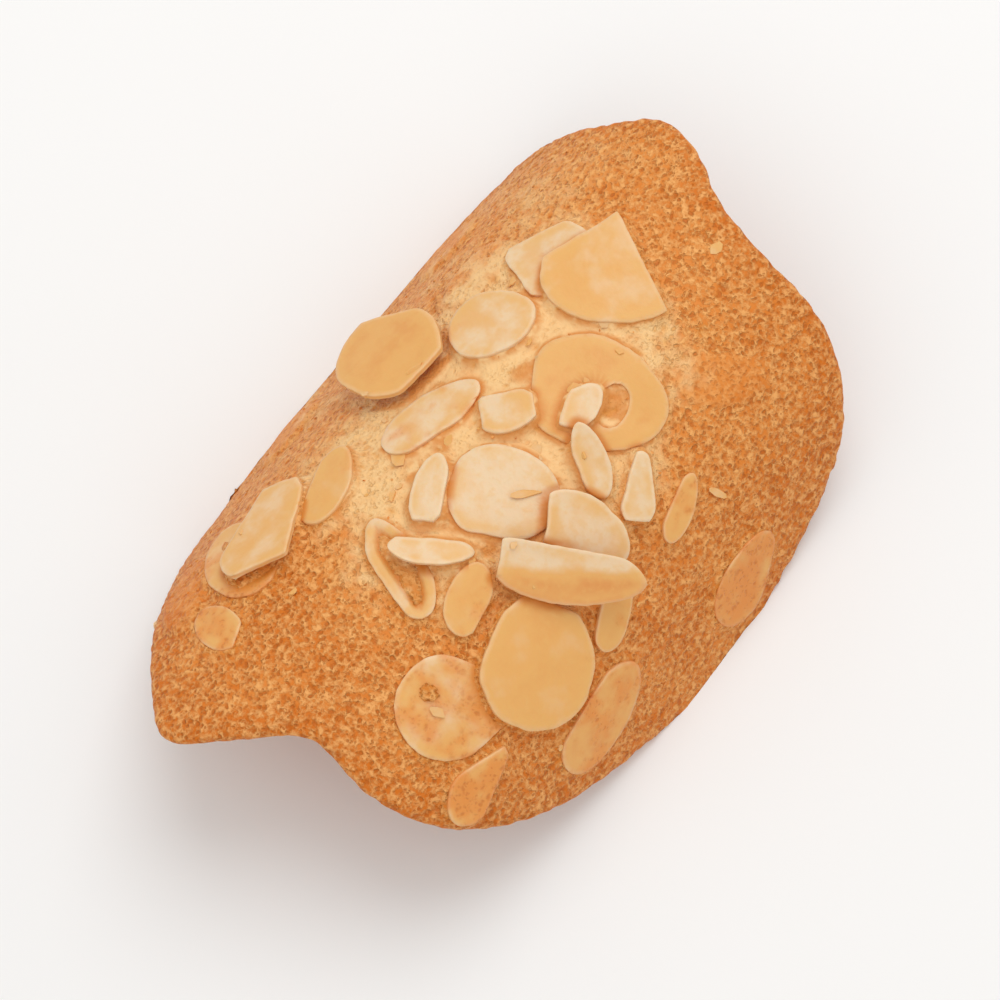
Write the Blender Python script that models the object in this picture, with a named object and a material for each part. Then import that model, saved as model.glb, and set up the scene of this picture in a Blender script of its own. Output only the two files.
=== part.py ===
"""Almond tuile: a thin round biscuit that was bent over a rolling pin while hot, with sliced almonds baked into its top.

Everything is laid out on the flat disc first, in millimetres: "across" runs over the arch, "along" runs with its
axis, and "above" is the height over the top skin. bent() then carries such a point to its place on the arch.
World axes: +X across the arch, +Y along it, +Z up. The tuile stands on two small flats of its long edges.
"""

import math

import bmesh
import bpy
import numpy as np
from mathutils import Vector

MM = 0.001

# The biscuit
BEND_RADIUS = 31.0  # of the top skin, over a rolling pin of 57 mm
FLANK_ANGLE = 1.1  # radians; past it the sides hang straight
THICKNESS_MIDDLE = 2.5
THICKNESS_RIM = 2.0
RIM_ROUND = 0.7  # how far the rim's rounding reaches in from the edge
FOOT_ARC = 45.3  # the arc length, crest to foot, where the resting flats are cut
GRID_CELLS = 30  # across the disc
DISC_CENTRE = (0.0, -1.0)

# The disc's uneven edge before it was bent, as (across, along), anticlockwise from the right foot.
EDGE_POINTS = (
    (47.0, 2.0), (43.5, 18.0), (38.0, 30.0), (30.0, 36.5), (20.0, 40.5), (9.0, 41.5), (0.0, 43.5),
    (-7.0, 47.5), (-14.5, 49.0), (-22.0, 45.5), (-31.0, 42.5), (-40.5, 38.0), (-45.5, 24.0), (-47.0, 8.0),
    (-47.0, -8.0), (-45.5, -22.0), (-42.5, -32.0), (-32.0, -41.5), (-21.0, -49.5), (-12.5, -54.5),
    (-5.0, -49.5), (3.0, -43.5), (12.0, -44.3), (20.0, -43.0), (29.0, -38.0), (38.0, -28.5), (44.0, -15.0),
)
EDGE_STEPS = 8  # spline steps between two of those points

# The almond slices
SLICE_THICKNESS = 0.85
SLICE_GAP = 0.3  # clear height between a slice and what it lies on
SLICE_SIDES = 22
SLICE_SPAN = 3.2  # the longest side a slice's outline may keep, so that it follows the bend
SHORTEST_SIDE = 0.25
STEEPEST = 0.3  # the most that a slice may slope against the skin from what it lies on
RELIEF_CELL = 0.5  # of the height map that the slices are settled on
RELIEF_HALF = 60.0

# Each slice: name, place (across, along), size (length, width), turn of its length in degrees from "across",
# lean in degrees, the bearing that it rises towards, how much it follows the bend (0 is flat), and its straight
# breaks as (bearing, distance from its middle). They are listed from the lowest to the topmost.
SLICES = (
    ("slice_01", (-13.5, 24.8), (12.5, 11.6), 43, 0, 0, 0.9, ((148, 4.3), (250, 4.8))),
    ("slice_02", (-13.3, 13.2), (12.0, 10.0), 46, 2, 215, 0.8, ()),
    ("slice_03", (3.7, 13.3), (18.8, 15.0), 20, 0, 0, 0.9, ((214, 8.2),)),
    ("slice_04", (14.7, -29.3), (15.0, 13.0), 32, 0, 0, 1.0, ((350, 6.2),)),
    ("slice_05", (-1.8, -19.8), (14.8, 6.8), 156, 0, 0, 0.8, ((250, 2.6),)),
    ("slice_06", (7.5, -17.4), (9.8, 5.8), 110, 3, 90, 0.7, ((10, 2.5),)),
    ("slice_07", (21.3, 9.4), (9.4, 3.9), 111, 0, 0, 1.0, ((196, 1.5),)),
    ("slice_08", (38.0, 10.3), (14.0, 9.0), 112, 0, 0, 1.0, ((40, 4.0),)),
    ("slice_09", (32.5, -16.5), (16.5, 9.5), 102, 0, 0, 1.0, ((190, 3.6),)),
    ("slice_10", (23.4, -34.2), (11.5, 6.5), 98, 0, 0, 0.9, ((20, 2.4), (160, 2.6))),
    ("slice_11", (-12.0, -1.2), (15.0, 7.0), 70, 0, 0, 0.9, ((340, 3.1),)),
    ("slice_12", (-23.0, -29.6), (17.0, 10.0), 168, 0, 0, 1.0, ()),
    ("slice_13", (-5.1, 27.9), (19.2, 15.8), 16, 3, 110, 0.4, ((62, 3.8), (161, 5.9), (208, 8.6))),
    ("slice_14", (-17.0, -38.9), (9.0, 5.6), 175, 0, 0, 1.0, ((20, 3.6),)),
    ("slice_15", (-22.6, 3.2), (16.0, 14.4), 4, 9, 180, 0.3, ((353, 6.3), (268, 6.9), (128, 6.4))),
    ("slice_16", (-3.6, 4.6), (8.4, 6.0), 48, 5, 315, 0.5, ((223, 3.5), (43, 3.5), (134, 2.4))),
    ("slice_17", (2.8, -4.2), (14.5, 12.6), 28, 2, 140, 0.5, ((300, 5.5),)),
    ("slice_18", (15.1, 7.2), (9.5, 5.0), 125, 6, 40, 0.5, ((308, 3.9), (48, 1.9), (203, 1.7))),
    ("slice_19", (22.6, -5.9), (11.6, 5.0), 122, 4, 32, 0.7, ((212, 1.9),)),
    ("slice_20", (19.2, -17.6), (17.6, 15.4), 124, 3, 60, 0.6, ((112, 7.5), (195, 6.9))),
    ("slice_21", (-4.7, -9.5), (10.0, 4.6), 115, 7, 208, 0.4, ((27, 1.9), (297, 4.3))),
    ("slice_22", (0.3, -15.6), (10.6, 4.2), 37, 9, 306, 0.3, ((127, 1.4),)),
    ("slice_23", (-17.5, -16.0), (12.2, 7.2), 113, 8, 32, 0.4, ((204, 2.5),)),
    ("slice_24", (-21.0, -24.7), (17.5, 12.2), 122, 8, 20, 0.3, ((128, 7.2), (36, 4.7), (322, 7.2), (198, 4.4))),
    ("slice_25", (3.2, 10.4), (7.4, 4.6), 88, 5, 14, 0.4, ((200, 1.8), (290, 3.0))),
    ("slice_26", (8.4, 5.8), (9.6, 4.2), 148, 6, 54, 0.5, ((238, 1.8),)),
    ("slice_27", (13.1, -1.8), (12.8, 9.0), 14, 2, 100, 0.5, ((211, 4.8), (292, 3.0))),
    ("slice_28", (14.1, -7.2), (18.4, 8.2), 35, 8, 112, 0.3, ((124, 2.8), (206, 8.0))),
)
POINTEDNESS = 0.16  # how much narrower an almond's tip is than its round end

# The hollow where the two halves of an almond met, cut through the widest slice.
HOLLOW_SLICE = "slice_03"
HOLLOW_PLACE = (6.1, 13.2)
HOLLOW_SIZE = (6.2, 4.0)
HOLLOW_TURN = 108

BATTER_COLOUR = (0.56, 0.26, 0.08)
ALMOND_COLOUR = (0.80, 0.56, 0.28)


def clear_scene():
    for obj in list(bpy.data.objects):
        bpy.data.objects.remove(obj)


def material(name, colour, roughness):
    made = bpy.data.materials.new(name)
    made.use_nodes = True
    shader = made.node_tree.nodes["Principled BSDF"]
    shader.inputs["Base Color"].default_value = (*colour, 1.0)
    shader.inputs["Roughness"].default_value = roughness
    shader.inputs["Metallic"].default_value = 0.0
    return made


def arch(across):
    """(x, z, slope) of the top skin at an arc length from the crest: a round back, then straight sides."""
    slope = max(-FLANK_ANGLE, min(FLANK_ANGLE, across / BEND_RADIUS))
    straight = across - slope * BEND_RADIUS
    x = BEND_RADIUS * math.sin(slope) + straight * math.cos(slope)
    z = BEND_RADIUS * (math.cos(slope) - 1.0) - straight * math.sin(slope)
    return x, z, slope


def bent(across, along, above):
    """The world place, in metres, of a point given on the flat disc. The crest of the skin is at z = 0."""
    x, z, slope = arch(across)
    return Vector((x + above * math.sin(slope), along, z + above * math.cos(slope))) * MM


def spline_point(before, start, end, after, t):
    """A Catmull-Rom point between start and end."""
    return tuple(
        0.5 * (2 * b + (c - a) * t + (2 * a - 5 * b + 4 * c - d) * t**2 + (3 * b - a - 3 * c + d) * t**3)
        for a, b, c, d in zip(before, start, end, after)
    )


def edge_radius():
    """The disc's radius as a function of the bearing round its centre, from the smooth curve through EDGE_POINTS."""
    count = len(EDGE_POINTS)
    bearings, radii = [], []
    for i in range(count):
        four = [EDGE_POINTS[(i + k) % count] for k in (-1, 0, 1, 2)]
        for step in range(EDGE_STEPS):
            across, along = spline_point(*four, step / EDGE_STEPS)
            across, along = across - DISC_CENTRE[0], along - DISC_CENTRE[1]
            bearings.append(math.atan2(along, across) % math.tau)
            radii.append(math.hypot(across, along))
    order = np.argsort(bearings)
    bearings, radii = np.array(bearings)[order], np.array(radii)[order]
    return lambda bearing: float(np.interp(bearing % math.tau, bearings, radii, period=math.tau))


def skin_lift(across, along):
    """The top skin's gentle unevenness: low swells that a hand-spread batter keeps."""
    swell = math.sin(across / 9.0 + 0.8) * math.cos(along / 11.0 - 0.5)
    ripple = math.sin(along / 6.5 + across / 14.0)
    return 0.18 * swell + 0.12 * ripple


def biscuit_mesh(radius):
    """The bent disc: a square grid drawn out to the uneven edge, made a plate whose rim is rounded.

    Until it is bent, a vertex's z is its share of the thickness below the top skin, as a negative number.
    """
    shape = bmesh.new()
    bmesh.ops.create_grid(shape, x_segments=GRID_CELLS, y_segments=GRID_CELLS, size=1.0)
    under = bmesh.ops.extrude_face_region(shape, geom=shape.faces[:], use_keep_orig=True)
    for v in under["geom"]:
        if isinstance(v, bmesh.types.BMVert):
            v.co.z = -1.0
    upright = [e for e in shape.edges if abs(e.verts[0].co.z - e.verts[1].co.z) > 0.5]
    bmesh.ops.subdivide_edges(shape, edges=upright, cuts=2, use_grid_fill=True)
    for v in shape.verts:
        x, y, depth = v.co.x, v.co.y, -v.co.z
        u, w = x * math.sqrt(1 - y * y / 2), y * math.sqrt(1 - x * x / 2)
        share, bearing = math.hypot(u, w), math.atan2(w, u)
        on_rim = 0.01 < depth < 0.99
        reach = share * (radius(bearing) - RIM_ROUND) + (RIM_ROUND if on_rim else 0.0)
        across = DISC_CENTRE[0] + reach * math.cos(bearing)
        along = DISC_CENTRE[1] + reach * math.sin(bearing)
        thickness = THICKNESS_MIDDLE + (THICKNESS_RIM - THICKNESS_MIDDLE) * share**2
        v.co = bent(across, along, skin_lift(across, along) - depth * thickness)
    bmesh.ops.recalc_face_normals(shape, faces=shape.faces[:])
    return shape


def cut_feet(shape):
    """Takes the long edges off level, so that the biscuit rests on a flat of each."""
    level = Vector((0, 0, arch(FOOT_ARC)[1] * MM))
    bmesh.ops.bisect_plane(
        shape,
        geom=shape.verts[:] + shape.edges[:] + shape.faces[:],
        plane_co=level,
        plane_no=(0, 0, 1),
        clear_inner=True,
    )
    bmesh.ops.holes_fill(shape, edges=[e for e in shape.edges if e.is_boundary])
    bmesh.ops.recalc_face_normals(shape, faces=shape.faces[:])


def turned(x, y, degrees):
    angle = math.radians(degrees)
    return x * math.cos(angle) - y * math.sin(angle), x * math.sin(angle) + y * math.cos(angle)


def broken(corners, bearing, distance):
    """The part of a convex outline that a straight break at this distance from its middle leaves."""
    out_x, out_y = turned(1.0, 0.0, bearing)
    kept = []
    for (x0, y0), (x1, y1) in zip(corners, corners[1:] + corners[:1]):
        over0 = x0 * out_x + y0 * out_y - distance
        over1 = x1 * out_x + y1 * out_y - distance
        if over0 <= 0:
            kept.append((x0, y0))
        if (over0 <= 0) != (over1 <= 0):
            t = over0 / (over0 - over1)
            kept.append((x0 + t * (x1 - x0), y0 + t * (y1 - y0)))
    return kept


def slice_outline(length, width, turn, breaks):
    """An almond's long section, turned, with its straight breaks, as points that are never far apart."""
    corners = []
    for i in range(SLICE_SIDES):
        x, y = turned(1.0, 0.0, 360 * i / SLICE_SIDES)
        corners.append(turned(x * length / 2, y * (1 - POINTEDNESS * x) * width / 2, turn))
    for bearing, distance in breaks:
        corners = broken(corners, bearing, distance)
    outline = []
    for (x0, y0), (x1, y1) in zip(corners, corners[1:] + corners[:1]):
        side = math.hypot(x1 - x0, y1 - y0)
        parts = max(1, math.ceil(side / SLICE_SPAN))
        if side > SHORTEST_SIDE:
            outline += [(x0 + (x1 - x0) * k / parts, y0 + (y1 - y0) * k / parts) for k in range(parts)]
    return outline


def inside(points, corners):
    """Which of an array of points lie in a polygon, by counting crossings."""
    hit = np.zeros(len(points), bool)
    for (x0, y0), (x1, y1) in zip(corners, np.roll(corners, -1, axis=0)):
        crosses = (y0 > points[:, 1]) != (y1 > points[:, 1])
        at = x0 + (points[:, 1] - y0) * (x1 - x0) / (y1 - y0 if y1 != y0 else 1.0)
        hit ^= crosses & (points[:, 0] < at)
    return hit


class Relief:
    """A height map of what lies on the skin, on which each slice is set down in turn."""

    def __init__(self):
        line = np.arange(-RELIEF_HALF, RELIEF_HALF, RELIEF_CELL)
        grid = np.meshgrid(line, line)
        self.points = np.stack([grid[0].ravel(), grid[1].ravel()], axis=1)
        self.height = np.array([skin_lift(*p) for p in self.points])

    def settle(self, corners, centre, own_height, lean):
        """The plane, as (level, slope across, slope along), on which a slice of this outline lies clear."""
        out = corners - centre
        grown = centre + out * (1 + 1.2 * RELIEF_CELL / np.linalg.norm(out, axis=1, keepdims=True))
        under = inside(self.points, grown)
        offset = self.points[under] - centre
        below = self.height[under] - own_height(offset)
        plane = np.column_stack([np.ones(len(offset)), offset])
        slopes = np.linalg.lstsq(plane, below, rcond=None)[0][1:]
        slopes = slopes * min(1.0, STEEPEST / max(1e-6, np.linalg.norm(slopes))) + lean
        rest = offset @ slopes
        level = float((below - rest).max()) + SLICE_GAP
        top = own_height(offset) + rest + level + SLICE_THICKNESS
        self.height[under] = np.maximum(self.height[under], top)
        return level, slopes


def slice_mesh(place, size, turn, lean, rises, follows, breaks, relief):
    """One slice as a closed plate, resting on what lies under it, and flatter than the skin if it doesn't follow."""
    outline = np.array(slice_outline(*size, turn, breaks))
    centre = np.array(place)

    def own_height(offset):
        return (1 - follows) * offset[:, 0] ** 2 / (2 * BEND_RADIUS)

    extra = math.tan(math.radians(lean)) * np.array(turned(1.0, 0.0, rises))
    level, slopes = relief.settle(outline + centre, centre, own_height, extra)
    shape = bmesh.new()
    shape.faces.new([shape.verts.new((x, y, 0)) for x, y in outline])
    bmesh.ops.inset_region(shape, faces=shape.faces[:], thickness=min(size) * 0.2, use_even_offset=True)
    bmesh.ops.poke(shape, faces=[max(shape.faces, key=lambda f: len(f.verts))])
    lifted = bmesh.ops.extrude_face_region(shape, geom=shape.faces[:], use_keep_orig=True)
    for v in lifted["geom"]:
        if isinstance(v, bmesh.types.BMVert):
            v.co.z = SLICE_THICKNESS
    for v in shape.verts:
        offset = np.array([[v.co.x, v.co.y]])
        above = level + float(own_height(offset)[0] + offset[0] @ slopes) + v.co.z
        v.co = bent(centre[0] + v.co.x, centre[1] + v.co.y, above)
    bmesh.ops.recalc_face_normals(shape, faces=shape.faces[:])
    return shape


def add_object(name, shape, finish):
    mesh = bpy.data.meshes.new(name)
    shape.to_mesh(mesh)
    shape.free()
    mesh.shade_smooth()
    mesh.set_sharp_from_angle(angle=math.radians(35))
    obj = bpy.data.objects.new(name, mesh)
    bpy.context.scene.collection.objects.link(obj)
    obj.data.materials.append(finish)
    return obj


def cut_hollow(slice_object):
    """The half-moon hole in the widest slice, as a Boolean with an oval post set square to the skin."""
    post = bmesh.new()
    bmesh.ops.create_cone(post, cap_ends=True, segments=16, radius1=1.0, radius2=1.0, depth=8.0)
    angle = math.radians(HOLLOW_TURN)
    for v in post.verts:
        x, y = v.co.x * HOLLOW_SIZE[0] / 2, v.co.y * HOLLOW_SIZE[1] / 2
        across = HOLLOW_PLACE[0] + x * math.cos(angle) - y * math.sin(angle)
        along = HOLLOW_PLACE[1] + x * math.sin(angle) + y * math.cos(angle)
        v.co = bent(across, along, v.co.z)
    cutter = add_object("hollow_cutter", post, slice_object.data.materials[0])
    cutter.hide_render = True
    cutter.display_type = "WIRE"
    modifier = slice_object.modifiers.new("hollow", "BOOLEAN")
    modifier.operation = "DIFFERENCE"
    modifier.solver = "EXACT"
    modifier.object = cutter


def set_origin(objects):
    """Puts the origin at the middle of the whole thing's box, on the surface that it stands on."""
    corners = [v.co for obj in objects if not obj.hide_render for v in obj.data.vertices]
    low = Vector(min(c[i] for c in corners) for i in range(3))
    high = Vector(max(c[i] for c in corners) for i in range(3))
    shift = Vector((-(low.x + high.x) / 2, -(low.y + high.y) / 2, -low.z))
    for obj in objects:
        for v in obj.data.vertices:
            v.co += shift


def main():
    clear_scene()
    batter = material("baked_batter", BATTER_COLOUR, 0.7)
    almond = material("toasted_almond", ALMOND_COLOUR, 0.5)
    biscuit = biscuit_mesh(edge_radius())
    cut_feet(biscuit)
    add_object("biscuit", biscuit, batter)
    relief = Relief()
    for name, place, size, turn, lean, rises, follows, breaks in SLICES:
        made = slice_mesh(place, size, turn, lean, rises, follows, breaks, relief)
        add_object(name, made, almond)
    cut_hollow(bpy.data.objects[HOLLOW_SLICE])
    set_origin(list(bpy.data.objects))


main()
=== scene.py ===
import math
import random

import bmesh
import bpy
from mathutils import Matrix, Vector, noise
from mathutils.bvhtree import BVHTree
from mathutils.kdtree import KDTree


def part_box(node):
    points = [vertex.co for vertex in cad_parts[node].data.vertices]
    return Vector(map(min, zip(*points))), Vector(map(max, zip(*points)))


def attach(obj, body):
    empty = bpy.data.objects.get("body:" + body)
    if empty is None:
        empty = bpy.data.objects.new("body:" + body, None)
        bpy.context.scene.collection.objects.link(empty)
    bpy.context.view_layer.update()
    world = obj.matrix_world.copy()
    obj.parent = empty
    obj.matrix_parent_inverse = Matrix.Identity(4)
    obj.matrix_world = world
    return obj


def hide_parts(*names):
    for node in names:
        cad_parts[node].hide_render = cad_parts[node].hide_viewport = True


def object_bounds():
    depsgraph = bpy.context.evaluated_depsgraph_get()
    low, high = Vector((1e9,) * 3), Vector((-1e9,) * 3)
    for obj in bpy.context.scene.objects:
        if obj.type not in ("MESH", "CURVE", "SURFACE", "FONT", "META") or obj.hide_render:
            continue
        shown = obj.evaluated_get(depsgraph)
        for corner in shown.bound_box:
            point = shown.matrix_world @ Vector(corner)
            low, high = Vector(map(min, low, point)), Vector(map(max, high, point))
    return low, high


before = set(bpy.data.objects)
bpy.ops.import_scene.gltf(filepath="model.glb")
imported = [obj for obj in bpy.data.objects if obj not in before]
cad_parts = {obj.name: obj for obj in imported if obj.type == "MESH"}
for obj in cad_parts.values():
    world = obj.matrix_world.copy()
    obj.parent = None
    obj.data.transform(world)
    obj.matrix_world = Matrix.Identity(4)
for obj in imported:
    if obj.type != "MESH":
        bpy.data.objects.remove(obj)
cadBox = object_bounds()
mm = 0.001
print("frame loaded")

# the bend that the disc got over its pin, in mm, and where the crest of the skin is
arch = {"radius": 31.0, "flank": 1.1, "swell": 0.24, "farCorner": 48.9}
biscuitLow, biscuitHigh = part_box("biscuit")
crest = Vector(((biscuitLow.x + biscuitHigh.x) / 2, biscuitHigh.y - arch["farCorner"] * mm, biscuitHigh.z))
crest.z -= arch["swell"] * mm


def bentPoint(across, along, above):
    # a place in the world from one on the flat disc
    slope = max(-arch["flank"], min(arch["flank"], across / arch["radius"]))
    straight = across - slope * arch["radius"]
    x = arch["radius"] * math.sin(slope) + straight * math.cos(slope) + above * math.sin(slope)
    z = arch["radius"] * (math.cos(slope) - 1) - straight * math.sin(slope) + above * math.cos(slope)
    return crest + Vector((x, along, z)) * mm


def outwardAt(across):
    slope = max(-arch["flank"], min(arch["flank"], across / arch["radius"]))
    return Vector((math.sin(slope), 0, math.cos(slope)))


def flatPoint(place):
    # the reverse: (across, along, above) in mm
    local = (place - crest) / mm
    x, z = local.x, local.z + arch["radius"]
    slope = math.atan2(x, z)
    if abs(slope) < arch["flank"]:
        return arch["radius"] * slope, local.y, math.hypot(x, z) - arch["radius"]
    side = math.copysign(arch["flank"], slope)
    down = x * math.cos(side) - z * math.sin(side)
    above = x * math.sin(side) + z * math.cos(side) - arch["radius"]
    return arch["radius"] * side + down, local.y, above


def blend(value, start, end):
    # 0 at start, 1 at end, eased
    t = max(0.0, min(1.0, (value - start) / (end - start)))
    return t * t * (3 - 2 * t)


def wave(place, size, seed=0.0):
    # smooth noise of about -1 to 1 with bumps of this size in mm
    return noise.noise(place / (size * mm) + Vector((seed, seed * 1.7, -seed)))


def cadCopy(node):
    shape = bmesh.new()
    shape.from_mesh(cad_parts[node].data)
    bmesh.ops.remove_doubles(shape, verts=shape.verts[:], dist=0.002 * mm)
    bmesh.ops.join_triangles(
        shape, faces=shape.faces[:], angle_face_threshold=0.35, angle_shape_threshold=0.7
    )
    return shape


def meshFrom(shape, name):
    mesh = bpy.data.meshes.new(name)
    shape.to_mesh(mesh)
    shape.free()
    return mesh


def smoothed(mesh, levels):
    # the mesh after a Subdivision Surface
    holder = bpy.data.objects.new("holder", mesh)
    bpy.context.scene.collection.objects.link(holder)
    modifier = holder.modifiers.new("smooth", "SUBSURF")
    modifier.levels = levels
    modifier.render_levels = levels
    depsgraph = bpy.context.evaluated_depsgraph_get()
    done = bpy.data.meshes.new_from_object(holder.evaluated_get(depsgraph))
    bpy.data.objects.remove(holder)
    return done


def addPiece(name, shape, material, replaced=None, smooth=True):
    mesh = meshFrom(shape, name)
    if smooth:
        mesh.shade_smooth()
    mesh.materials.clear()
    mesh.materials.append(material)
    piece = bpy.data.objects.new(name, mesh)
    bpy.context.scene.collection.objects.link(piece)
    if replaced:
        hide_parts(replaced)
    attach(piece, "root")


def newGroup(name, inputs, outputs):
    group = bpy.data.node_groups.new(name, "ShaderNodeTree")
    for label, kind, value in inputs:
        socket = group.interface.new_socket(name=label, in_out="INPUT", socket_type=kind)
        if value is not None:
            socket.default_value = value
    for label, kind in outputs:
        group.interface.new_socket(name=label, in_out="OUTPUT", socket_type=kind)
    return group, group.nodes.new("NodeGroupInput").outputs, group.nodes.new("NodeGroupOutput").inputs


def addNode(tree, kind, values=None, **settings):
    node = tree.nodes.new(kind)
    for key, value in settings.items():
        setattr(node, key, value)
    for key, value in (values or {}).items():
        if isinstance(value, bpy.types.NodeSocket):
            tree.links.new(value, node.inputs[key])
        else:
            node.inputs[key].default_value = value
    return node


def addMath(tree, operation, first, second, clamp=False):
    values = {0: first, 1: second}
    return addNode(tree, "ShaderNodeMath", values, operation=operation, use_clamp=clamp).outputs[0]


def mixColor(tree, share, first, second):
    values = {0: share, 6: first, 7: second}  # 6, 7 and output 2 are the node's colour sockets
    return addNode(tree, "ShaderNodeMix", values, data_type="RGBA").outputs[2]


def ranged(tree, value, low, high, outLow=0.0, outHigh=1.0):
    # low to high becomes outLow to outHigh, eased
    values = {"Value": value, "From Min": low, "From Max": high, "To Min": outLow, "To Max": outHigh}
    return addNode(tree, "ShaderNodeMapRange", values, interpolation_type="SMOOTHSTEP").outputs[0]


def attribute(tree, name):
    return addNode(tree, "ShaderNodeAttribute", attribute_name=name).outputs["Fac"]


def makePoreGroup():
    # open pores of two sizes in a baked crumb, and the fine grain between them
    group, given, out = newGroup(
        "bakedPores",
        [("Position", "NodeSocketVector", None), ("Spacing", "NodeSocketFloat", 900.0)],
        [("Pores", "NodeSocketFloat"), ("Grain", "NodeSocketFloat")],
    )
    warpValues = {"Vector": given["Position"], "Scale": 900.0, "Detail": 2.0}
    warp = addNode(group, "ShaderNodeTexNoise", warpValues)
    centred = {0: warp.outputs["Color"], 1: (0.5, 0.5, 0.5)}
    shift = addNode(group, "ShaderNodeVectorMath", centred, operation="SUBTRACT")
    shiftValues = {0: shift.outputs[0], "Scale": 0.0011}
    small = addNode(group, "ShaderNodeVectorMath", shiftValues, operation="SCALE")
    sides = {0: given["Position"], 1: small.outputs[0]}
    moved = addNode(group, "ShaderNodeVectorMath", sides, operation="ADD")
    masks = []
    # finer spacing than asked, widest opening, and share of cells that stay closed
    for factor, reach, share in ((1.0, 0.52, 0.25), (1.8, 0.56, 0.3)):
        scale = addMath(group, "MULTIPLY", given["Spacing"], factor)
        cells = addNode(group, "ShaderNodeTexVoronoi", {"Vector": moved.outputs[0], "Scale": scale})
        pick = addNode(group, "ShaderNodeSeparateColor", {0: cells.outputs["Color"]})
        opened = ranged(group, pick.outputs[0], share, share + 0.5)
        size = addMath(group, "MULTIPLY", opened, reach)
        edge = addMath(group, "DIVIDE", cells.outputs["Distance"], addMath(group, "ADD", size, 0.02))
        masks.append(addMath(group, "MULTIPLY", ranged(group, edge, 1.0, 0.3), opened))
    pores = addMath(group, "MAXIMUM", masks[0], addMath(group, "MULTIPLY", masks[1], 0.75))
    fine = addNode(
        group, "ShaderNodeTexNoise",
        {"Vector": given["Position"], "Scale": 1250.0, "Detail": 3.0, "Roughness": 0.62},
    )
    group.links.new(pores, out["Pores"])
    group.links.new(ranged(group, fine.outputs["Fac"], 0.36, 0.66), out["Grain"])
    return group


def makeToastGroup():
    # three shades of a baked surface, chosen by how much heat a place had
    group, given, out = newGroup(
        "toasting",
        [
            ("Heat", "NodeSocketFloat", 0.5),
            ("Pale", "NodeSocketColor", None),
            ("Golden", "NodeSocketColor", None),
            ("Brown", "NodeSocketColor", None),
        ],
        [("Color", "NodeSocketColor")],
    )
    lower = mixColor(group, ranged(group, given["Heat"], 0.0, 0.5), given["Pale"], given["Golden"])
    upper = mixColor(group, ranged(group, given["Heat"], 0.5, 1.0), lower, given["Brown"])
    group.links.new(upper, out["Color"])
    return group


def placePores(tree, poreGroup, place):
    pores = addNode(tree, "ShaderNodeGroup", node_tree=poreGroup)
    tree.links.new(place, pores.inputs["Position"])
    pores.inputs["Spacing"].default_value = batterLook["poreSpacing"]
    return pores.outputs


def placeToast(tree, toastGroup, look, heat):
    toast = addNode(tree, "ShaderNodeGroup", node_tree=toastGroup)
    tree.links.new(heat, toast.inputs["Heat"])
    toast.inputs["Pale"].default_value = look["pale"]
    toast.inputs["Golden"].default_value = look["golden"]
    toast.inputs["Brown"].default_value = look["brown"]
    return toast.outputs["Color"]


batterLook = {
    "pale": (0.90, 0.585, 0.275, 1),
    "golden": (0.75, 0.245, 0.042, 1),
    "brown": (0.64, 0.158, 0.010, 1),
    "poreColor": (0.47, 0.105, 0.008, 1),
    "palePoreColor": (0.76, 0.320, 0.060, 1),
    # painted highlight on the raised tips of the grain
    "tipHighlightColor": (0.95, 0.53, 0.19, 1),
    # browned batter and painted shade along the edges of slices
    "brownShadeSeamColor": (0.66, 0.215, 0.028, 1),
    "brownShadeSeam": 0.8,
    "poreSpacing": 1180.0,  # pores along a metre
    "poreDepth": 0.66,
    "pitDepth": 0.7,
    "patches": 0.10,  # how much the browning varies over large patches
    "mottle": 0.11,  # and over small ones
    "highlightedTips": 0.58,
    "roughness": 0.46,
    "specular": 0.18,
    "bump": 0.8,
    "bumpHeight": 0.0003,
}


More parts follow.
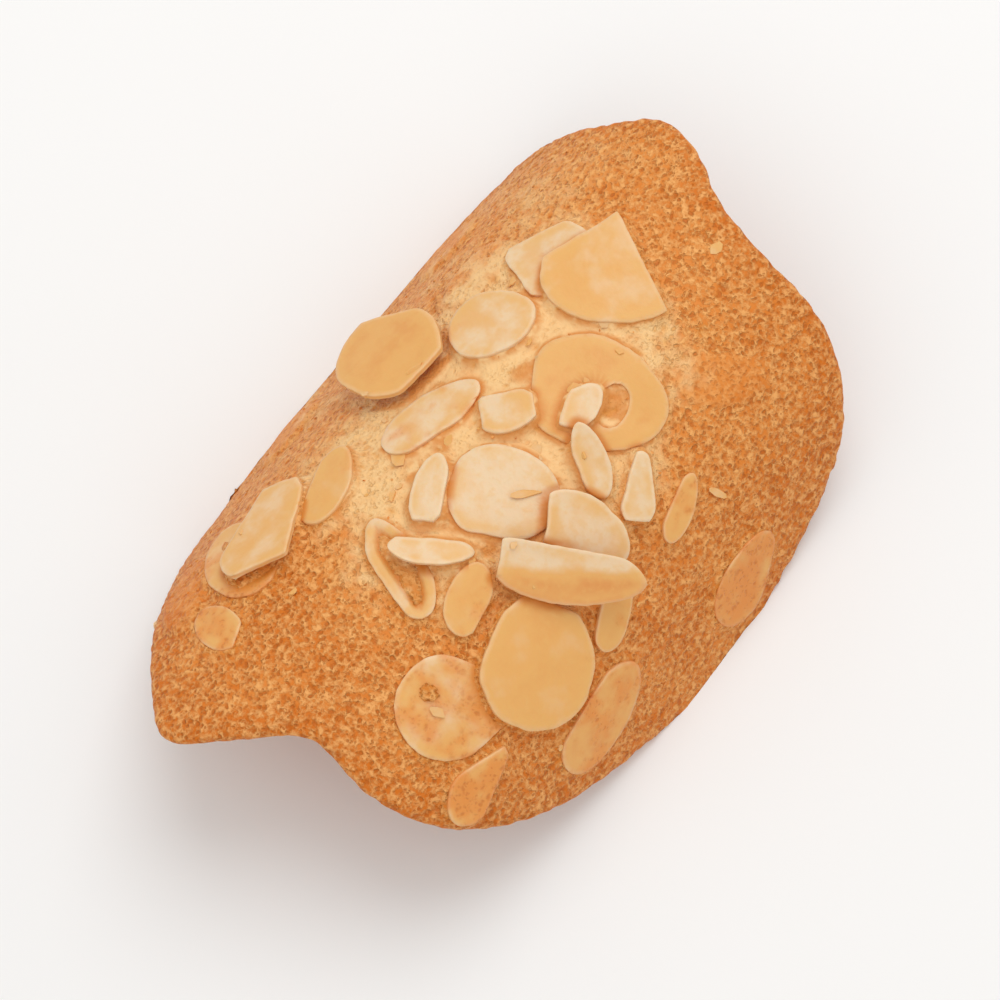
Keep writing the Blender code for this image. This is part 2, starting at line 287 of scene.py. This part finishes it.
def makeBatter(poreGroup, toastGroup):
    material = bpy.data.materials.new("bakedBatter")
    material.use_nodes = True
    tree = material.node_tree
    shader = tree.nodes["Principled BSDF"]
    place = addNode(tree, "ShaderNodeTexCoord").outputs["Object"]
    pores = placePores(tree, poreGroup, place)
    patches = addNode(tree, "ShaderNodeTexNoise", {"Vector": place, "Scale": 130.0, "Detail": 3.0})
    mottle = addNode(tree, "ShaderNodeTexNoise", {"Vector": place, "Scale": 480.0, "Detail": 2.0})
    large, small = batterLook["patches"], batterLook["mottle"]
    largeHeat = ranged(tree, patches.outputs["Fac"], 0.3, 0.7, -large, large)
    heat = addMath(tree, "ADD", attribute(tree, "brown"), largeHeat)
    smallHeat = ranged(tree, mottle.outputs["Fac"], 0.3, 0.7, -small, small)
    heat = addMath(tree, "ADD", heat, smallHeat, clamp=True)
    toasted = placeToast(tree, toastGroup, batterLook, heat)
    openness = addMath(tree, "SUBTRACT", 1.0, attribute(tree, "film"))
    dark = addMath(tree, "MULTIPLY", pores["Pores"], openness)
    dark = addMath(tree, "MULTIPLY", dark, batterLook["poreDepth"])
    pits = addMath(tree, "MULTIPLY", attribute(tree, "pit"), batterLook["pitDepth"])
    dark = addMath(tree, "MAXIMUM", dark, pits)
    # browned batter and painted shade along slice edges, and at browned spots
    brownShadeSeamBreaks = ranged(tree, mottle.outputs["Fac"], 0.3, 0.5)
    brownShadeSeam = addMath(tree, "MULTIPLY", attribute(tree, "brownShadeSeam"), brownShadeSeamBreaks)
    brownShadeSeam = addMath(tree, "MULTIPLY", brownShadeSeam, batterLook["brownShadeSeam"])
    color = mixColor(tree, brownShadeSeam, toasted, batterLook["brownShadeSeamColor"])
    baked = ranged(tree, heat, 0.05, 0.5)
    inside = mixColor(tree, baked, batterLook["palePoreColor"], batterLook["poreColor"])
    color = mixColor(tree, dark, color, inside)
    # painted highlight: paler colour on the raised tips of the grain between pores
    highlightedTips = addMath(tree, "MULTIPLY", pores["Grain"], openness)
    highlightedTips = addMath(tree, "MULTIPLY", highlightedTips, batterLook["highlightedTips"])
    highlightedTips = addMath(tree, "MULTIPLY", highlightedTips, addMath(tree, "SUBTRACT", 1.0, pores["Pores"]))
    color = mixColor(tree, highlightedTips, color, batterLook["tipHighlightColor"])
    tree.links.new(color, shader.inputs["Base Color"])
    height = addMath(tree, "SUBTRACT", addMath(tree, "MULTIPLY", highlightedTips, 1.2), dark)
    relief = {"Height": height, "Strength": batterLook["bump"], "Distance": batterLook["bumpHeight"]}
    bump = addNode(tree, "ShaderNodeBump", relief)
    tree.links.new(bump.outputs[0], shader.inputs["Normal"])
    shader.inputs["Roughness"].default_value = batterLook["roughness"]
    shader.inputs["Specular IOR Level"].default_value = batterLook["specular"]
    return material


almondLook = {
    "pale": (0.81, 0.590, 0.365, 1),
    "golden": (0.78, 0.405, 0.122, 1),
    "brown": (0.72, 0.300, 0.080, 1),
    # painted highlight along the cut edge
    "rim": (0.90, 0.70, 0.47, 1),
    "ring": (0.79, 0.445, 0.140, 1),
    "clouds": 0.15,  # how much the toasting varies over a slice
    "ringStrength": 0.6,
    "rimHighlightStrength": 0.35,
    "fibres": 0.3,
    "film": 0.72,
    "filmPores": 0.6,
    "roughness": 0.42,
    "specular": 0.3,
    "bump": 0.8,
    "bumpHeight": 0.0002,
    "glow": 0.12,  # how much light passes through, how far, and how far each colour gets
    "glowDepth": 0.0007,
    "glowColor": (1.0, 0.5, 0.25),
}


def makeAlmond(poreGroup, toastGroup):
    material = bpy.data.materials.new("toastedAlmond")
    material.use_nodes = True
    tree = material.node_tree
    shader = tree.nodes["Principled BSDF"]
    place = addNode(tree, "ShaderNodeTexCoord").outputs["Object"]
    clouds = addNode(tree, "ShaderNodeTexNoise", {"Vector": place, "Scale": 240.0, "Detail": 3.0})
    clouds = clouds.outputs["Fac"]
    cloudHeat = ranged(tree, clouds, 0.3, 0.7, -almondLook["clouds"], almondLook["clouds"])
    heat = addMath(tree, "ADD", attribute(tree, "tone"), cloudHeat, clamp=True)
    toasted = placeToast(tree, toastGroup, almondLook, heat)
    ringBreaks = ranged(tree, clouds, 0.35, 0.6, 0.0, almondLook["ringStrength"])
    ring = addMath(tree, "MULTIPLY", attribute(tree, "ring"), ringBreaks)
    color = mixColor(tree, ring, toasted, almondLook["ring"])
    # painted highlight: paler along the cut edge
    rim = addMath(tree, "MULTIPLY", attribute(tree, "rim"), almondLook["rimHighlightStrength"])
    color = mixColor(tree, rim, color, almondLook["rim"])
    fibre = addNode(tree, "ShaderNodeTexNoise", {"Vector": place, "Scale": 1000.0, "Detail": 4.0})
    fibres = ranged(tree, fibre.outputs["Fac"], 0.45, 0.7, 0.0, almondLook["fibres"])
    color = mixColor(tree, fibres, color, almondLook["ring"])
    pores = placePores(tree, poreGroup, place)
    film = addMath(tree, "MULTIPLY", attribute(tree, "film"), almondLook["film"])
    color = mixColor(tree, film, color, batterLook["golden"])
    dark = addMath(tree, "MULTIPLY", pores["Pores"], film)
    dark = addMath(tree, "MULTIPLY", dark, almondLook["filmPores"])
    color = mixColor(tree, dark, color, batterLook["poreColor"])
    # browned batter and painted shade along the edge of a slice above
    brownShadeSeamBreaks = ranged(tree, clouds, 0.3, 0.55, 0.45, 0.95)
    brownShadeSeam = addMath(tree, "MULTIPLY", attribute(tree, "brownShadeSeam"), brownShadeSeamBreaks)
    color = mixColor(tree, brownShadeSeam, color, batterLook["brownShadeSeamColor"])
    tree.links.new(color, shader.inputs["Base Color"])
    height = addMath(tree, "SUBTRACT", addMath(tree, "MULTIPLY", fibre.outputs["Fac"], 0.5), dark)
    relief = {"Height": height, "Strength": almondLook["bump"], "Distance": almondLook["bumpHeight"]}
    bump = addNode(tree, "ShaderNodeBump", relief)
    tree.links.new(bump.outputs[0], shader.inputs["Normal"])
    shader.inputs["Roughness"].default_value = almondLook["roughness"]
    shader.inputs["Specular IOR Level"].default_value = almondLook["specular"]
    shader.inputs["Subsurface Weight"].default_value = almondLook["glow"]
    shader.inputs["Subsurface Radius"].default_value = almondLook["glowColor"]
    shader.inputs["Subsurface Scale"].default_value = almondLook["glowDepth"]
    return material


poreGroup = makePoreGroup()
toastGroup = makeToastGroup()
batter = makeBatter(poreGroup, toastGroup)
almond = makeAlmond(poreGroup, toastGroup)
print("materials made")


# lengths in mm
slices = {
    "thickness": 0.85,
    "rimAngle": math.radians(50),  # an edge that turns more than this is part of the cut rim
    "rimCrease": 0.72,
    "cornerTurn": math.radians(42),
    "rimHighlightReach": 0.55,  # how far in the painted highlight along the cut edge reaches
    "ring": (0.7, 2.4),  # where the darker ring inside it starts and ends
    "chip": 0.09,
    "wander": 0.26,
    "chipReach": 1.2,  # how far in chips and wander reach
    "warp": 0.08,
    # past this height over the skin a slice settles by this share, up to this much
    "settle": (0.5, 0.4, 0.7),
    # how near the edge of a slice above leaves a full line of browned batter and painted shade, and the end
    # of it
    "brownShadeSeam": (0.45, 1.5),
    "brownShadeSeamHeight": (1.4, 2.4),  # the same for the height of that edge
    # browned and hollow past this distance from its edge, by this depth
    "grooved": ("slice_05", 1.5, 0.4),
    # painted light and shade on one leaning slice, paler on its raised side toward the light and darker
    # away from it: direction of the light, change, half width
    "paintedLightSlice": ("slice_28", (-0.62, 0.78), 0.42, 1.5),
    # how deep each has sunk into the batter (mm), how much batter covers it, and how toasted it is
    "slice_01": (0.25, 0.0, 0.15), "slice_02": (0.4, 0.15, 0.2), "slice_03": (0.45, 0.1, 0.56),
    "slice_04": (0.6, 0.5, 0.35), "slice_05": (0.35, 0.2, 0.3), "slice_06": (0.3, 0.3, 0.5),
    "slice_07": (0.5, 0.4, 0.6), "slice_08": (0.65, 0.7, 0.8), "slice_09": (0.5, 0.55, 0.75),
    "slice_10": (0.6, 0.7, 0.65), "slice_11": (0.5, 0.35, 0.2), "slice_12": (0.55, 0.5, 0.45),
    "slice_13": (0.4, 0.0, 0.42), "slice_14": (0.62, 0.6, 0.6), "slice_15": (0.4, 0.1, 0.6),
    "slice_16": (0.3, 0.1, 0.2), "slice_17": (0.3, 0.0, 0.05), "slice_18": (0.25, 0.0, 0.05),
    "slice_19": (0.3, 0.25, 0.55), "slice_20": (0.4, 0.1, 0.5), "slice_21": (0.3, 0.0, 0.0),
    "slice_22": (0.5, 0.05, 0.12), "slice_23": (0.3, 0.25, 0.5), "slice_24": (0.4, 0.1, 0.35),
    "slice_25": (0.2, 0.0, 0.1), "slice_26": (0.25, 0.0, 0.1), "slice_27": (0.25, 0.0, 0.1),
    "slice_28": (0.4, 0.05, 0.45),
}
sliceNames = ["slice_%02d" % number for number in range(1, 29)]


def creaseRim(shape):
    # the cut edges stay crisp and a broken corner stays pointed
    edgeCrease = shape.edges.layers.float.new("crease_edge")
    cornerCrease = shape.verts.layers.float.new("crease_vert")
    rim = [e for e in shape.edges if e.is_manifold and e.calc_face_angle() > slices["rimAngle"]]
    rimSet = set(rim)
    for e in rim:
        e[edgeCrease] = slices["rimCrease"]
    for v in {v for e in rim for v in e.verts}:
        ends = [e.other_vert(v).co - v.co for e in v.link_edges if e in rimSet]
        if len(ends) == 2 and ends[0].angle(-ends[1]) > slices["cornerTurn"]:
            v[cornerCrease] = 1.0
    return [e.verts[0].co.lerp(e.verts[1].co, step / 8) for e in rim for step in range(8)]


def makeSlice(name, seed):
    sink, film, tone = slices[name]
    source = cadCopy(name)
    rimPoints = creaseRim(source)
    rimTree = KDTree(len(rimPoints))
    for i, point in enumerate(rimPoints):
        rimTree.insert(point, i)
    rimTree.balance()
    shape = bmesh.new()
    shape.from_mesh(smoothed(meshFrom(source, name), 3))
    layers = {key: shape.verts.layers.float.new(key) for key in ("rim", "ring", "film", "tone", "brownShadeSeam")}
    shape.normal_update()
    centre = sum((v.co for v in shape.verts), Vector()) / len(shape.verts)
    ringStart, ringEnd = slices["ring"]
    grooved, grooveStart, grooveDepth = slices["grooved"]
    settleFrom, settleShare, settleMost = slices["settle"]
    paintedLightSlice, lightDirection, paintedLightChange, paintedLightReach = slices["paintedLightSlice"]
    moves = []
    for v in shape.verts:
        across, _, above = flatPoint(v.co)
        outward = outwardAt(across)
        underside = above - slices["thickness"] * (v.normal.dot(outward) + 1) / 2
        settled = min(settleMost, max(0.0, underside - settleFrom) * settleShare)
        fromRim = rimTree.find(v.co)[2] / mm
        atRim = 1 - blend(fromRim, 0.0, slices["chipReach"])
        inPlane = (v.co - centre) - outward * (v.co - centre).dot(outward)
        flat = v.co - outward * (v.co - centre).dot(outward)
        chips = wave(flat, 1.1, seed) * slices["chip"] + wave(flat, 3.6, seed + 5) * slices["wander"]
        chips *= atRim
        warp = wave(v.co, 6.0, seed + 3) * slices["warp"]
        moves.append(inPlane.normalized() * chips * mm + outward * (warp - sink - settled) * mm)
        cover = film + 0.55 * wave(v.co, 3.2, seed + 9) + 0.25 * wave(v.co, 1.1, seed)
        v[layers["film"]] = blend(cover, 0.3, 0.8) * min(1.0, film * 2.2)
        # painted highlight along the cut edge
        v[layers["rim"]] = 1 - blend(fromRim, 0.0, slices["rimHighlightReach"])
        v[layers["ring"]] = blend(fromRim, ringStart - 0.4, ringStart)
        v[layers["ring"]] *= 1 - blend(fromRim, ringStart, ringEnd)
        v[layers["tone"]] = tone
        # painted light and shade: this slice is paler toward the light and darker away from it
        if name == paintedLightSlice:
            off = (v.co - centre) / mm
            lightward = off.x * lightDirection[0] + off.y * lightDirection[1]
            v[layers["tone"]] = tone - paintedLightChange * (2 * blend(lightward, -paintedLightReach, paintedLightReach) - 1)
        if name == grooved:
            groove = blend(fromRim, grooveStart - 0.4, grooveStart + 0.3)
            moves[-1] -= outward * groove * grooveDepth * mm
            v[layers["brownShadeSeam"]] = groove
    for v, move in zip(shape.verts, moves):
        v.co += move
    return shape


def paintBrownShadeSeams(shapes, trees):
    # browned batter and painted shade show in a line on a slice along the edge of the one above it
    highest = slices["brownShadeSeamHeight"][1]
    for one, shape in enumerate(shapes):
        brownShadeSeam = shape.verts.layers.float["brownShadeSeam"]
        for other in range(one + 1, len(trees)):
            for v in shape.verts:
                point, _, _, distance = trees[other].find_nearest(v.co, highest * mm)
                if point is None:
                    continue
                height = (point - v.co).dot(outwardAt(flatPoint(v.co)[0])) / mm
                sideways = math.sqrt(max(0.0, (distance / mm) ** 2 - height**2))
                if height > 0.02:
                    line = 1 - blend(sideways, *slices["brownShadeSeam"])
                    v[brownShadeSeam] = max(v[brownShadeSeam], line * (1 - blend(height, *slices["brownShadeSeamHeight"])))


# each slice gets noise of its own
sliceShapes = [makeSlice(name, 11.0 + 5.3 * number) for number, name in enumerate(sliceNames)]
sliceTrees = [BVHTree.FromBMesh(shape) for shape in sliceShapes]
paintBrownShadeSeams(sliceShapes, sliceTrees)
for name, shape in zip(sliceNames, sliceShapes):
    addPiece("almond" + name[-2:], shape, almond, name)
print("slices made")


# lengths in mm, and places as (across, along) on the flat disc
skin = {
    "swell": 0.16,
    "lumps": 0.085,
    "grain": 0.07,
    "ragged": 0.2,  # how uneven the rim is
    "innerSwell": 0.12,  # the same two for the inside of the arch
    "innerLumps": 0.05,
    "pits": 1100,
    "pitSize": (0.3, 0.75),
    "pitDepth": 0.25,  # of their size
    "hug": (0.1, 1.2),  # how far out from a slice the batter has climbed to it, and climbs no more
    "climb": 1.5,  # the most it climbs
    "climbHeight": (1.3, 2.2),  # it climbs less to a slice past this height, and not at all past that
    "brownShadeSeam": (0.35, 0.85),  # how far out it is fully browned and darkened by painted shade, and no longer
    "near": 3.0,  # how far out it is paler and smoother
    "creamPlace": (-3.5, 3.0),
    "creamSize": (20.0, 27.0),
    "creamEnd": (0.5, 1.4),  # of that size, where the pale middle begins to brown and where it ends
    # what each adds to the browning, from 0 to 1, with painted shade on the right and painted sheen on the
    # left among them
    "brownAway": 0.66,
    "brownNear": -0.1,
    "brownCover": -0.04,
    "brownRim": 0.45,
    "rimReach": 5.0,  # how far in the rim's browning reaches
    "brownNearEnd": 0.12,  # the end with the notch
    # browning and painted shade on the right flank, turned away from the light
    "brownAndShadeRight": 0.16,
    # painted sheen: paler on the left flank where the light falls
    "paintedSheenLeft": -0.24,
    "brownInside": 0.72,
    # places that browned where the batter lay thin or open: place, how far
    "browned": (
        ((-5.7, 10.2), 2.4), ((0.7, 5.9), 2.0), ((5.9, 13.3), 3.6), ((-2.2, -19.4), 2.6),
        ((2.0, -19.4), 2.2), ((-8.6, -8.7), 2.6), ((-14.1, 2.2), 1.8), ((-8.1, -3.5), 1.8),
        ((-5.8, -12.0), 2.5), ((-0.6, -11.0), 2.3), ((5.2, -10.6), 1.8), ((18.4, 4.0), 1.9),
        ((8.9, 28.7), 1.3), ((12.0, 28.7), 1.5),
    ),
    # of the size of a slice under the skin: where its flat ends, and where the skin slopes down round it
    "sunkenFlat": (0.9, 1.0),
    "sunkenSlope": (0.86, 1.12),
    # slices right under the skin: place, size, turn, height
    "sunken": (
        ((-22.8, 18.8), (11.5, 8.5), 84, 0.35), ((-7.3, 8.8), (7.5, 6.5), 140, 0.4),
        ((14.5, 25.0), (13.0, 7.0), 43, 0.35), ((-27.8, -37.0), (15.0, 7.5), 139, 0.5),
        ((-38.0, 22.5), (12.0, 8.0), 60, 0.5), ((-40.0, -10.0), (12.0, 7.5), 100, 0.5),
    ),
}


def sunkenAt(across, along):
    # 1 on the flat of a slice that lies under the skin, and the height that it lifts the skin
    cover, lift = 0.0, 0.0
    for (x, y), (length, width), turn, height in skin["sunken"]:
        angle = math.radians(turn)
        u = (across - x) * math.cos(angle) + (along - y) * math.sin(angle)
        w = (along - y) * math.cos(angle) - (across - x) * math.sin(angle)
        reach = math.hypot(u / (length / 2), w / (width / 2))
        cover = max(cover, 1 - blend(reach, *skin["sunkenFlat"]))
        lift = max(lift, height * (1 - blend(reach, *skin["sunkenSlope"])))
    return cover, lift


def climbAt(place, outward):
    # how far the batter rises here to meet a slice, how near a slice is, and how browned and darkened by
    # painted shade it is along it
    lift, near, brownShadeSeam = 0.0, 0.0, 0.0
    highest = skin["climbHeight"][1]
    for tree in sliceTrees:
        point, _, _, distance = tree.find_nearest(place, skin["near"] * mm)
        if point is None:
            continue
        height = (point - place).dot(outward) / mm
        sideways = math.sqrt(max(0.0, (distance / mm) ** 2 - height**2))
        near = max(near, 1 - blend(sideways, 0.0, skin["near"]))
        if -0.5 < height < highest:
            support = min(height + 0.3, skin["climb"]) * (1 - blend(height, *skin["climbHeight"]))
            lift = max(lift, support * (1 - blend(sideways, *skin["hug"])))
            brownShadeSeam = max(brownShadeSeam, 1 - blend(sideways, *skin["brownShadeSeam"]))
    return lift, near, brownShadeSeam


def makeSkin():
    source = cadCopy("biscuit")
    crease = source.edges.layers.float.new("crease_edge")
    floorLevel = 0.01 * mm
    for e in source.edges:
        if max(v.co.z for v in e.verts) < floorLevel:
            e[crease] = 1.0
    shape = bmesh.new()
    shape.from_mesh(smoothed(meshFrom(source, "skin"), 2))
    shape.normal_update()

    def facing(normal, place):
        # 1 where it faces straight out of the arch, -1 straight in
        return normal.dot(outwardAt(flatPoint(place)[0]))

    topFaces = [f for f in shape.faces if facing(f.normal, f.calc_center_median()) > 0.6]
    topEdges = list({e for f in topFaces for e in f.edges})
    bmesh.ops.subdivide_edges(shape, edges=topEdges, cuts=1, use_grid_fill=True)
    shape.normal_update()
    rimVerts = [v for v in shape.verts if abs(facing(v.normal, v.co)) < 0.5 and v.co.z > floorLevel]
    rimTree = KDTree(len(rimVerts))
    for i, v in enumerate(rimVerts):
        rimTree.insert(v.co, i)
    rimTree.balance()
    brownLayer = shape.verts.layers.float.new("brown")
    pitLayer = shape.verts.layers.float.new("pit")
    filmLayer = shape.verts.layers.float.new("film")
    brownShadeSeamLayer = shape.verts.layers.float.new("brownShadeSeam")
    moves = []
    for v in shape.verts:
        across, along, _ = flatPoint(v.co)
        outward = outwardAt(across)
        front = facing(v.normal, v.co)
        fromRim = rimTree.find(v.co)[2] / mm
        ragged = wave(v.co, 1.6, 4) * skin["ragged"] * (1 - blend(fromRim, 0.3, 1.6))
        if front > 0.3:
            cover, lift = sunkenAt(across, along)
            climb, near, v[brownShadeSeamLayer] = climbAt(v.co, outward)
            rough = wave(v.co, 2.4, 2) * skin["lumps"] + wave(v.co, 0.95, 7) * skin["grain"]
            rise = wave(v.co, 11.0, 1) * skin["swell"] + rough * (1 - 0.7 * cover) + max(lift, climb)
            cream = math.hypot(
                (across - skin["creamPlace"][0]) / skin["creamSize"][0],
                (along - skin["creamPlace"][1]) / skin["creamSize"][1],
            )
            brown = skin["brownAway"] * blend(cream + 0.2 * wave(v.co, 9.0, 5), *skin["creamEnd"])
            brown += skin["brownNear"] * near + skin["brownCover"] * cover
            brown += skin["brownRim"] * (1 - blend(fromRim, 0.0, skin["rimReach"]))
            # more browning toward the near end, browning with painted shade on the right, and painted sheen
            # on the left
            brown += skin["brownNearEnd"] * blend(-along, 0, 40) + skin["brownAndShadeRight"] * blend(across, 6, 34)
            brown += skin["paintedSheenLeft"] * blend(-across, 4, 22) * blend(along, -34, -12)
            for (x, y), reach in skin["browned"]:
                off = math.hypot(across - x, along - y) + 0.5 * wave(v.co, 1.5, 6)
                v[brownShadeSeamLayer] = max(v[brownShadeSeamLayer], 1 - blend(off, 0.3 * reach, reach))
            v[filmLayer] = max(0.4 * cover, (0.35 + 0.5 * near) * (1 - blend(cream, 0.5, 1.1)))
        else:
            rise = wave(v.co, 5.0, 8) * skin["innerSwell"] + wave(v.co, 1.5, 6) * skin["innerLumps"]
            brown = skin["brownInside"] + 0.2 * wave(v.co, 8.0, 3)
            v[filmLayer] = 0.35 * blend(-front, 0.4, 0.9)
        v[brownLayer] = max(0.0, min(1.0, brown))
        moves.append(v.normal * ragged * mm + outward * rise * mm * (1 if front > -0.2 else -1))
    for v, move in zip(shape.verts, moves):
        v.co += move
    sinkPits(shape, pitLayer)
    for v in shape.verts:
        v.co.z = max(0.0, v.co.z)
    return shape


def sinkPits(shape, pitLayer):
    # larger burst bubbles, as real dents
    chance = random.Random(5)
    shape.verts.ensure_lookup_table()
    shape.normal_update()
    places = KDTree(len(shape.verts))
    for i, v in enumerate(shape.verts):
        places.insert(v.co, i)
    places.balance()
    normals = [v.normal.copy() for v in shape.verts]
    for _ in range(skin["pits"]):
        middle = shape.verts[chance.randrange(len(shape.verts))].co.copy()
        size = chance.uniform(*skin["pitSize"])
        for _, i, distance in places.find_range(middle, size * mm):
            depth = (1 - (distance / (size * mm)) ** 2) ** 1.5
            v = shape.verts[i]
            v.co = v.co - normals[i] * depth * skin["pitDepth"] * size * mm
            v[pitLayer] = max(v[pitLayer], depth)


skinShape = makeSkin()
skinTree = BVHTree.FromBMesh(skinShape)
addPiece("biscuitSkin", skinShape, batter, "biscuit")
print("skin made")


# lengths in mm, and places as (across, along) on the flat disc
crumbs = {
    "above": 12.0,  # how high over the disc the surface is looked for from, and how far down
    "search": 16.0,
    "almondBits": 16,
    "bitSize": (0.5, 1.4),
    "shards": 24,  # thin broken flakes that lie in the pale middle
    "shardSize": (1.2, 3.6),
    "batterCrumbs": 240,
    "crumbSize": (0.25, 0.6),
    "corners": 11,  # of each bit, before it is closed
    "almondTone": 0.4,
    "batterBrown": 0.55,
    # slivers: place, length and width, turn
    "slivers": (
        ((24.3, 14.4), (3.4, 1.2), 20), ((4.9, -2.6), (4.4, 1.4), 48), ((-11.0, -30.0), (1.6, 1.3), 50),
        ((13.5, -31.0), (2.6, 1.5), 10), ((-17.0, 2.5), (3.0, 1.0), 70), ((-9.0, -12.5), (2.4, 0.9), 120),
        ((-31.0, -42.0), (1.8, 1.2), 60),
    ),
}


def lookDown(tree, across, along):
    # where this surface is at a place of the disc, and how far down
    start = bentPoint(across, along, crumbs["above"])
    hit, _, _, distance = tree.ray_cast(start, -outwardAt(across), crumbs["search"] * mm)
    return hit, distance


def onTop(across, along):
    # the highest surface at a place of the disc, whether skin or slice
    found = [lookDown(tree, across, along) for tree in [skinTree] + sliceTrees]
    found = [(hit, distance) for hit, distance in found if hit is not None]
    return min(found, key=lambda pair: pair[1])[0] if found else None


def addChip(shape, place, across, size, turn, chance):
    # one small angular bit, lying on the surface
    outward = outwardAt(across)
    sideways = Vector((outward.z, 0, -outward.x))
    corners = []
    for i in range(crumbs["corners"]):
        angle = i * math.tau / crumbs["corners"] + chance.uniform(-0.25, 0.25)
        reach = chance.uniform(0.75, 1.0)
        u, w = math.cos(angle) * size[0] * reach / 2, math.sin(angle) * size[1] * reach / 2
        flat = sideways * (u * math.cos(turn) - w * math.sin(turn))
        flat += Vector((0, 1, 0)) * (u * math.sin(turn) + w * math.cos(turn))
        corner = place + (flat + outward * chance.choice((-0.5, 0.5)) * size[2]) * mm
        corners.append(bmesh.ops.create_vert(shape, co=corner)["vert"][0])
    made = bmesh.ops.convex_hull(shape, input=corners)
    spare = made["geom_interior"] + made["geom_unused"]
    spare = {g for g in spare if isinstance(g, bmesh.types.BMVert)}
    bmesh.ops.delete(shape, geom=list(spare), context="VERTS")


def makeBits():
    chance = random.Random(21)
    shape = bmesh.new()
    for (across, along), (length, width), turn in crumbs["slivers"]:
        place = onTop(across, along)
        addChip(shape, place, across, (length, width, 0.6), math.radians(turn), chance)
    for _ in range(crumbs["shards"]):
        across, along = chance.gauss(-4, 8), chance.gauss(4, 10)
        place = lookDown(skinTree, across, along)[0]
        length = chance.uniform(*crumbs["shardSize"])
        size = (length, length * chance.uniform(0.35, 0.7), 0.22)
        addChip(shape, place, across, size, chance.uniform(0, 6), chance)
    for _ in range(crumbs["almondBits"]):
        across, along = chance.gauss(0, 16), chance.gauss(-4, 20)
        place = onTop(across, along)
        if place is not None:
            length = chance.uniform(*crumbs["bitSize"])
            size = (length, length * 0.7, length * 0.3)
            addChip(shape, place, across, size, chance.uniform(0, 6), chance)
    tone = shape.verts.layers.float.new("tone")
    for v in shape.verts:
        v[tone] = crumbs["almondTone"]
    return shape


def makeCrumbs():
    chance = random.Random(22)
    shape = bmesh.new()
    for _ in range(crumbs["batterCrumbs"]):
        across, along = chance.uniform(-42, 42), chance.uniform(-48, 44)
        place = lookDown(skinTree, across, along)[0]
        if place is not None:
            length = chance.uniform(*crumbs["crumbSize"])
            size = (length, length * 0.8, length * 0.5)
            addChip(shape, place, across, size, chance.uniform(0, 6), chance)
    brown = shape.verts.layers.float.new("brown")
    for v in shape.verts:
        v[brown] = crumbs["batterBrown"]
    return shape


addPiece("almondBits", makeBits(), almond, smooth=False)
addPiece("batterCrumbs", makeCrumbs(), batter, smooth=False)
print("crumbs made")


# lengths in metres, angles in degrees
studio = {
    "floorColor": (0.88, 0.875, 0.87, 1),
    "world": 0.72,
    "keyPower": 2.0,
    "keySize": 0.6,
    "keyPlace": (-0.14, 0.32, 0.64),
    "fillPower": 0.5,
    "fillPlace": (0.35, -0.30, 0.50),
    "azimuth": 50.0,
    "elevation": 72.0,
    "roll": 12.0,
    "distance": 0.6,
    "shown": 0.128,  # width of the view at the object
}


def makeFloor():
    shape = bmesh.new()
    bmesh.ops.create_grid(shape, x_segments=1, y_segments=1, size=1.5)
    mesh = meshFrom(shape, "floor")
    material = bpy.data.materials.new("palePaper")
    material.use_nodes = True
    tree = material.node_tree
    grain = addNode(tree, "ShaderNodeTexNoise", {"Scale": 40.0, "Detail": 2.0})
    lighter = tuple(min(1.0, c * 1.02) for c in studio["floorColor"][:3]) + (1,)
    color = mixColor(tree, grain.outputs["Fac"], studio["floorColor"], lighter)
    tree.links.new(color, tree.nodes["Principled BSDF"].inputs["Base Color"])
    tree.nodes["Principled BSDF"].inputs["Roughness"].default_value = 0.7
    mesh.materials.append(material)
    floor = bpy.data.objects.new("floor", mesh)
    bpy.context.scene.collection.objects.link(floor)


def addSoftLight(name, place, power, size, target):
    light = bpy.data.lights.new(name, "AREA")
    light.shape = "DISK"
    light.size = size
    light.energy = power
    lamp = bpy.data.objects.new(name, light)
    lamp.location = place
    lamp.rotation_euler = (target - Vector(place)).to_track_quat("-Z", "Y").to_euler()
    bpy.context.scene.collection.objects.link(lamp)


def setCamera(target):
    azimuth, elevation = math.radians(studio["azimuth"]), math.radians(studio["elevation"])
    back = Vector((
        math.sin(azimuth) * math.cos(elevation),
        -math.cos(azimuth) * math.cos(elevation),
        math.sin(elevation),
    ))
    lens = bpy.data.cameras.new("camera")
    lens.lens = lens.sensor_width * studio["distance"] / studio["shown"]
    camera = bpy.data.objects.new("camera", lens)
    level = back.to_track_quat("Z", "Y").to_matrix()
    turned = level @ Matrix.Rotation(-math.radians(studio["roll"]), 3, "Z")
    camera.matrix_world = Matrix.Translation(target + back * studio["distance"]) @ turned.to_4x4()
    bpy.context.scene.collection.objects.link(camera)
    bpy.context.scene.camera = camera


middle = (cadBox[0] + cadBox[1]) / 2
makeFloor()
addSoftLight("keyLight", studio["keyPlace"], studio["keyPower"], studio["keySize"], middle)
addSoftLight("fillLight", studio["fillPlace"], studio["fillPower"], studio["keySize"], middle)
world = bpy.data.worlds.new("studio")
world.use_nodes = True
world.node_tree.nodes["Background"].inputs["Color"].default_value = (1.0, 0.99, 0.97, 1)
world.node_tree.nodes["Background"].inputs["Strength"].default_value = studio["world"]
bpy.context.scene.world = world
bpy.context.scene.view_settings.view_transform = "Standard"
setCamera(middle)
print("studio set")
